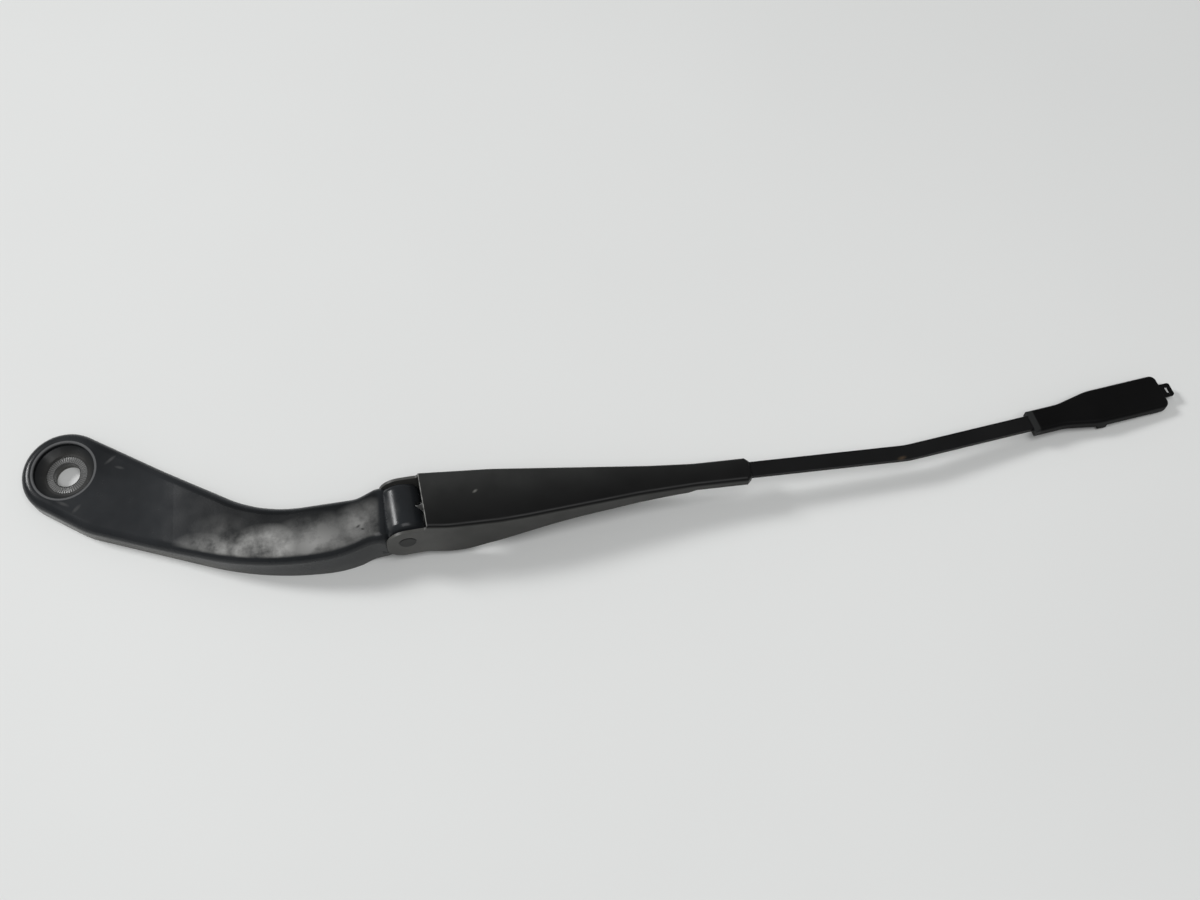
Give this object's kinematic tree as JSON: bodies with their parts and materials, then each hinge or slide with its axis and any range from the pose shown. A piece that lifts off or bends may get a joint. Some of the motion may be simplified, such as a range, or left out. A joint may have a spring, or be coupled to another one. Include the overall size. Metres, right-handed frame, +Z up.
{
  "type": "wiper arm",
  "caption": "Wiper arm with a curved cast head, a sprung fold-up hinge, a tapered channel, a flat bent rod and a pressed blade socket at the tip.",
  "frame": {"origin": "axis of the spindle bore at the seating face under the boss", "axes": "+Z up along the bore, +X along the channel towards the tip, +Y to the far side"},
  "size_m": [0.602, 0.0883, 0.0317],
  "materials": {
    "head_paint": "satin black paint over die-cast aluminium, hazed on the near half",
    "arm_paint": "satin black paint on folded steel sheet",
    "rod_paint": "satin black paint on flat steel bar",
    "fitting_paint": "semi-gloss black paint on pressed steel",
    "rivet_paint": "black paint over a steel rivet",
    "pin_steel": "plain ground steel",
    "link_steel": "zinc-plated steel strap",
    "spring_steel": "phosphated spring wire",
    "bush_plastic": "natural acetal"
  },
  "bodies": {
    "head": {"arm_head": "head_paint", "anchor_pin": "pin_steel", "hinge_bush_near": "bush_plastic", "hinge_bush_far": "bush_plastic"},
    "arm": {"hinge_pin": "rivet_paint", "channel": "arm_paint", "rod": "rod_paint", "end_fitting": "fitting_paint", "spring": "spring_steel"},
    "link": {"spring_link": "link_steel"}
  },
  "joints": [
    {"name": "arm_fold", "type": "hinge", "parent": "head", "child": "arm", "pos_m": [0.1721, -0.0459, 0.0177], "axis": [0.1044, -0.9912, 0.0809], "range_deg": [0, 60], "stiffness_Nm_per_rad": 1, "springref_deg": -171.89, "deforming": ["spring"]},
    {"name": "link_swing", "type": "hinge", "parent": "head", "child": "link", "pos_m": [0.17463, -0.0463, 0.00955], "axis": [0.1044, -0.9912, 0.0809], "range_deg": [0, 60]}
  ],
  "couplings": [
    {"joint": "link_swing", "follows": "arm_fold", "ratio": 0.978}
  ]
}
